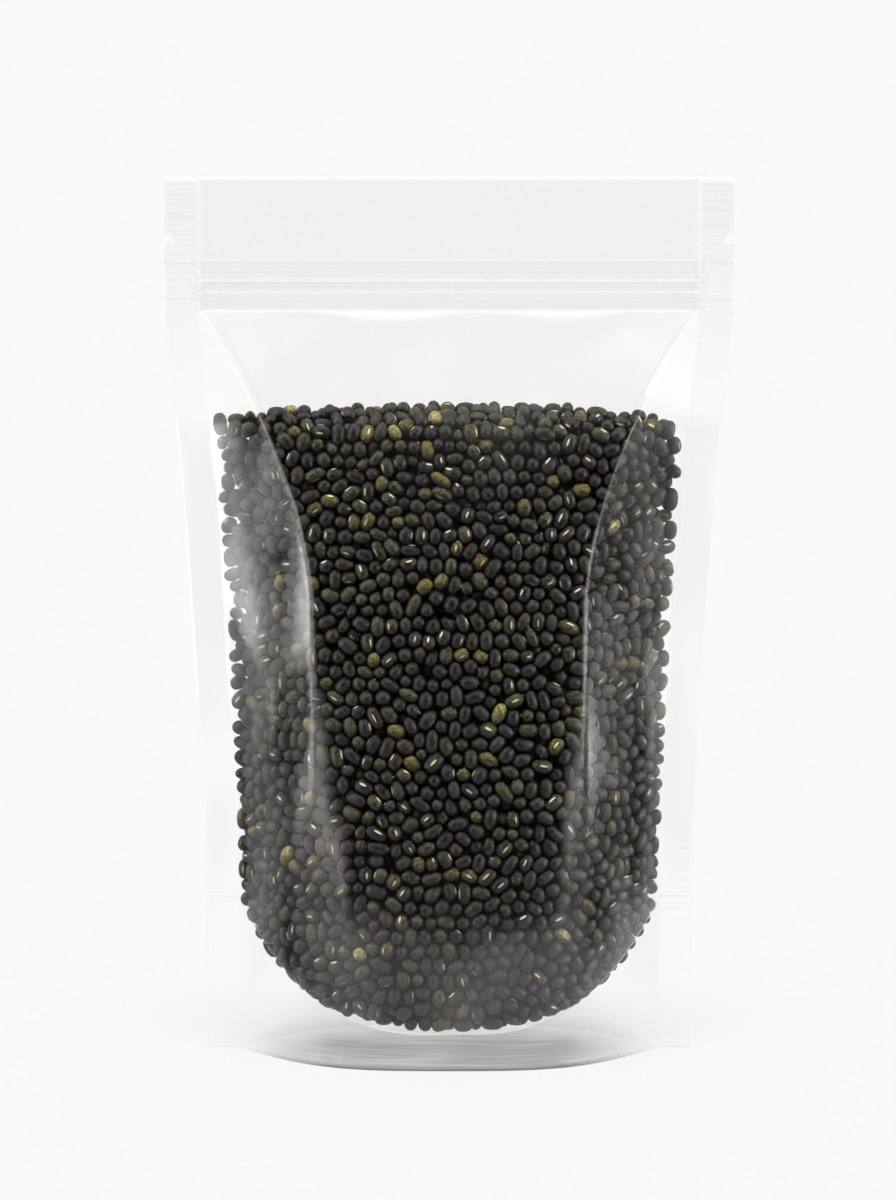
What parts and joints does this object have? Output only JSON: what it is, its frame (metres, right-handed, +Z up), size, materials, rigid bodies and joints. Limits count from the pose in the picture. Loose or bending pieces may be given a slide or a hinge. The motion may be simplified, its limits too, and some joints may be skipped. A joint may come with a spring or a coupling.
{
  "type": "bag of dried beans",
  "caption": "Clear stand-up pouch of small dark dried beans, with side seals, tear notches, a press-to-close zip and a folded base.",
  "frame": {"origin": "on the ground, under the middle of the pouch", "axes": "+Z up, +X across the pouch to the right seen from the front, -Y out of the front panel"},
  "size_m": [0.14, 0.0626, 0.2175],
  "materials": {
    "beans": "matt dark seed coats, charcoal and olive, seen through clear film",
    "clear_film": "clear glossy laminated film"
  },
  "bodies": {
    "root": {"bag_of_beans": "beans"}
  },
  "joints": []
}
